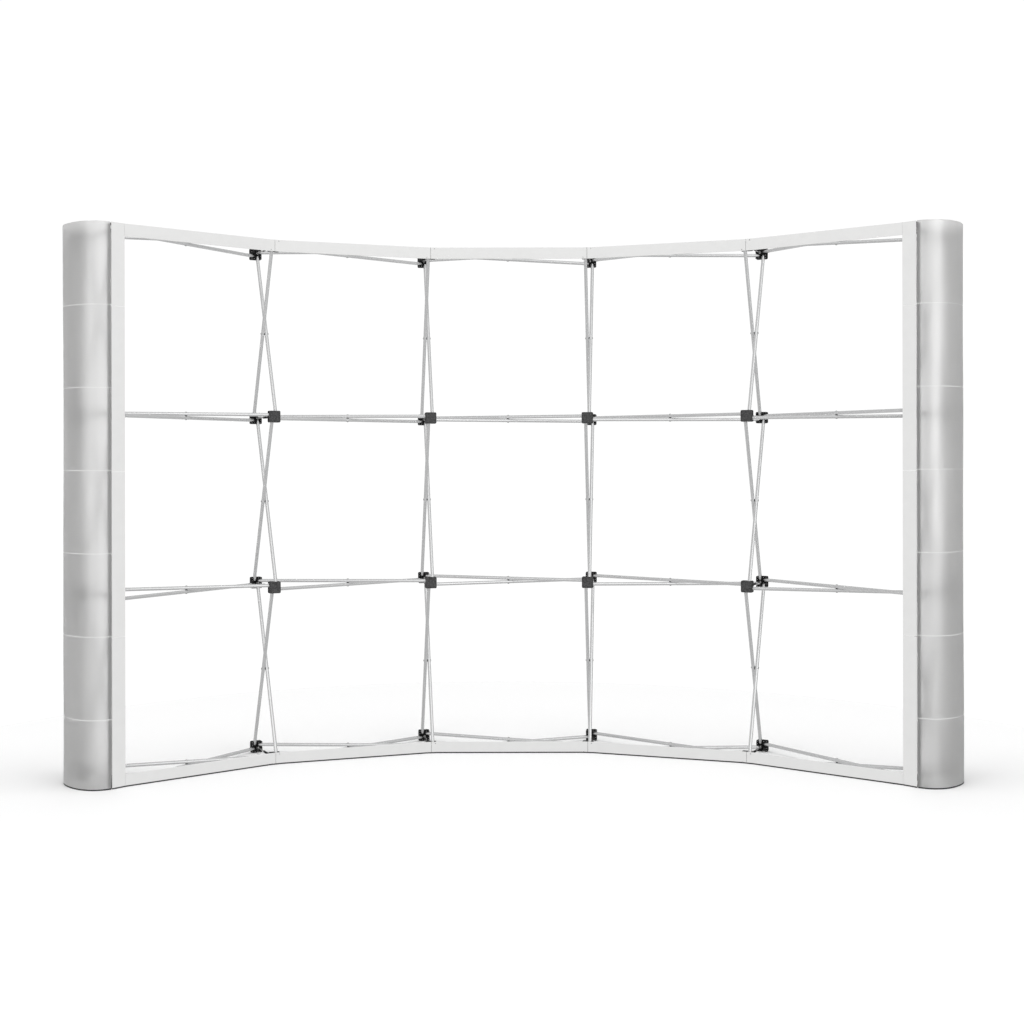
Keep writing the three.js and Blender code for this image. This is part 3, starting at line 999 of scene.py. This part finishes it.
def build_panel(name, column, outward):
    """The film, and the magnetic strips that hold its edges to the bars. Their dark colour is also
    painted shade on the film near the bars.
    """
    panel = Piece(name, FILM, LINE, PAINTED_SHADE_DARK, INNER_FILM)
    side = Matrix.Translation((outward * (BAR_HALF + TRIM_GAP), 0, 0))
    place = COLUMNS[column] @ side @ half_turn(outward < 0)
    form, finishes = film_form()
    panel.add(form, place, finishes)
    # Dark strips: magnetic strips whose dark colour is also painted shade seen through the film
    # near the bars.
    for near, far in ((-HUB_PLANE, FLANGE - HUB_PLANE), (HUB_PLANE - FLANGE, HUB_PLANE)):
        outline = rectangle(SLIT, SLIT + FLANGE_THICKNESS, near, far, FLANGE_EDGE)
        levels = softened(FLANGE_INSET, HEIGHT - FLANGE_INSET, FLANGE_EDGE)
        panel.add(prism(outline, levels), place, PAINTED_SHADE_DARK)
    panel.build("frame", "panel_film", name)


# The object.


for row in ROWS:
    for letter in "ab":
        build_chain(row, letter)
for column in COLUMNS:
    for row in ROWS:
        build_arm(column, row)
        if row < TOP_ROW:
            build_upright_pair(column, row)
build_rail("bottom_rail", 0, 1)
build_rail("top_rail", HEIGHT - RAIL_HEIGHT, TOP_ROW)
for name, column, outward in (("left", FIRST, -1), ("right", LAST, 1)):
    build_bar(f"front_bar_{name}", column, is_rear=False)
    build_bar(f"rear_bar_{name}", column, is_rear=True)
    build_panel(f"end_panel_{name}", column, outward)


# The stage: a pale floor, soft light and the camera.


def pale_floor():
    """A disc under the object. It isn't seen in gloss and throws no light back up."""
    tones = ((0.89, 0.89, 0.89), (0.91, 0.91, 0.91))
    mesh = bpy.data.meshes.new("floor")
    corners, faces = lathe([(0, 0), (FLOOR_RADIUS, 0)], FLOOR_SIDES)
    mesh.from_pydata(corners, [], [face[::-1] for face in faces])
    mesh.materials.append(surface("pale_floor", tones, (0.7, 0.8), (9, 9, 9), (0.05, MM), {}))
    floor = bpy.data.objects.new("floor", mesh)
    floor.location = (0, FLOOR_MIDDLE, 0)
    floor.visible_glossy = False
    floor.visible_diffuse = False
    bpy.context.scene.collection.objects.link(floor)


def grey(value):
    return value, value, value


def gloss_colour(tree):
    """The surroundings as they show in gloss: bright round one axis, with darker sides."""
    place = tree.nodes.new("ShaderNodeTexCoord").outputs["Generated"]
    inputs = {0: place, 1: GLOSS_AXIS}
    towards = add_node(tree, "ShaderNodeVectorMath", inputs, operation="DOT_PRODUCT")
    turned = map_range(tree, towards.outputs["Value"], (-1, 1), (0, 1))
    return colour_ramp(tree, turned, [(position, grey(value)) for position, value in GLOSS])


def either(tree, factor, first, second):
    """The first colour where the factor is 0, the second where it is 1."""
    inputs = {"Fac": factor, "Color1": first, "Color2": second}
    return add_node(tree, "ShaderNodeMixRGB", inputs).outputs["Color"]


def studio_world():
    """White to the eye and through the film, and softer as light. Gloss has its own picture."""
    world = bpy.data.worlds.new("studio")
    bpy.context.scene.world = world
    world.use_nodes = True
    tree = world.node_tree
    ray = tree.nodes.new("ShaderNodeLightPath").outputs
    colour = either(tree, ray["Is Diffuse Ray"], (*grey(BACKDROP), 1), (*grey(SKY), 1))
    colour = either(tree, ray["Is Glossy Ray"], colour, gloss_colour(tree))
    colour = either(tree, ray["Is Transmission Ray"], colour, (*grey(1), 1))
    feed(tree, colour, tree.nodes["Background"].inputs["Color"])


def soft_light(name, place, target, size, power, in_gloss=False):
    """A soft light of (width, height). It is seen either in gloss alone or in all but gloss."""
    lamp = bpy.data.lights.new(name, "AREA")
    lamp.shape = "RECTANGLE"
    lamp.size, lamp.size_y = size
    lamp.energy = power
    lamp.spread = GLOSS_SPREAD if in_gloss else math.pi
    made = bpy.data.objects.new(name, lamp)
    bpy.context.scene.collection.objects.link(made)
    made.visible_glossy = in_gloss
    made.visible_diffuse = not in_gloss
    made.visible_transmission = not in_gloss
    made.location = place
    made.rotation_euler = (Vector(target) - Vector(place)).to_track_quat("-Z", "Y").to_euler()


def photo_camera():
    """The photograph's view: level, a little left of the middle, with a slight roll."""
    lens = bpy.data.cameras.new("camera")
    lens.sensor_width = SENSOR_WIDTH
    lens.lens = FOCAL_LENGTH
    lens.shift_x, lens.shift_y = LENS_SHIFT
    lens.clip_end = CLIP_END
    made = bpy.data.objects.new("camera", lens)
    bpy.context.scene.collection.objects.link(made)
    made.location = CAMERA_PLACE
    level = Matrix.Rotation(CAMERA_YAW, 4, "Z") @ Matrix.Rotation(math.pi / 2, 4, "X")
    made.rotation_euler = (level @ Matrix.Rotation(CAMERA_ROLL, 4, "Z")).to_euler()
    bpy.context.scene.camera = made


bpy.context.scene.view_settings.view_transform = "Standard"
pale_floor()
studio_world()
soft_light("overhead", (0, -1.5, 12), (0, -1.5, 0), (3.7, 3.7), 420)
soft_light("front", (0, -4, 1.6), (0, 0, 0.9), (3, 3), 9)
soft_light("left_softbox", (-3.6, -3.7, 1.7), (-1.7, -0.4, 1.7), (4.6, 2.4), 2.6, in_gloss=True)
soft_light("right_softbox", (3.5, -3.9, 1.7), (1.7, -0.4, 1.7), (2.8, 2.4), 1.7, in_gloss=True)
photo_camera()
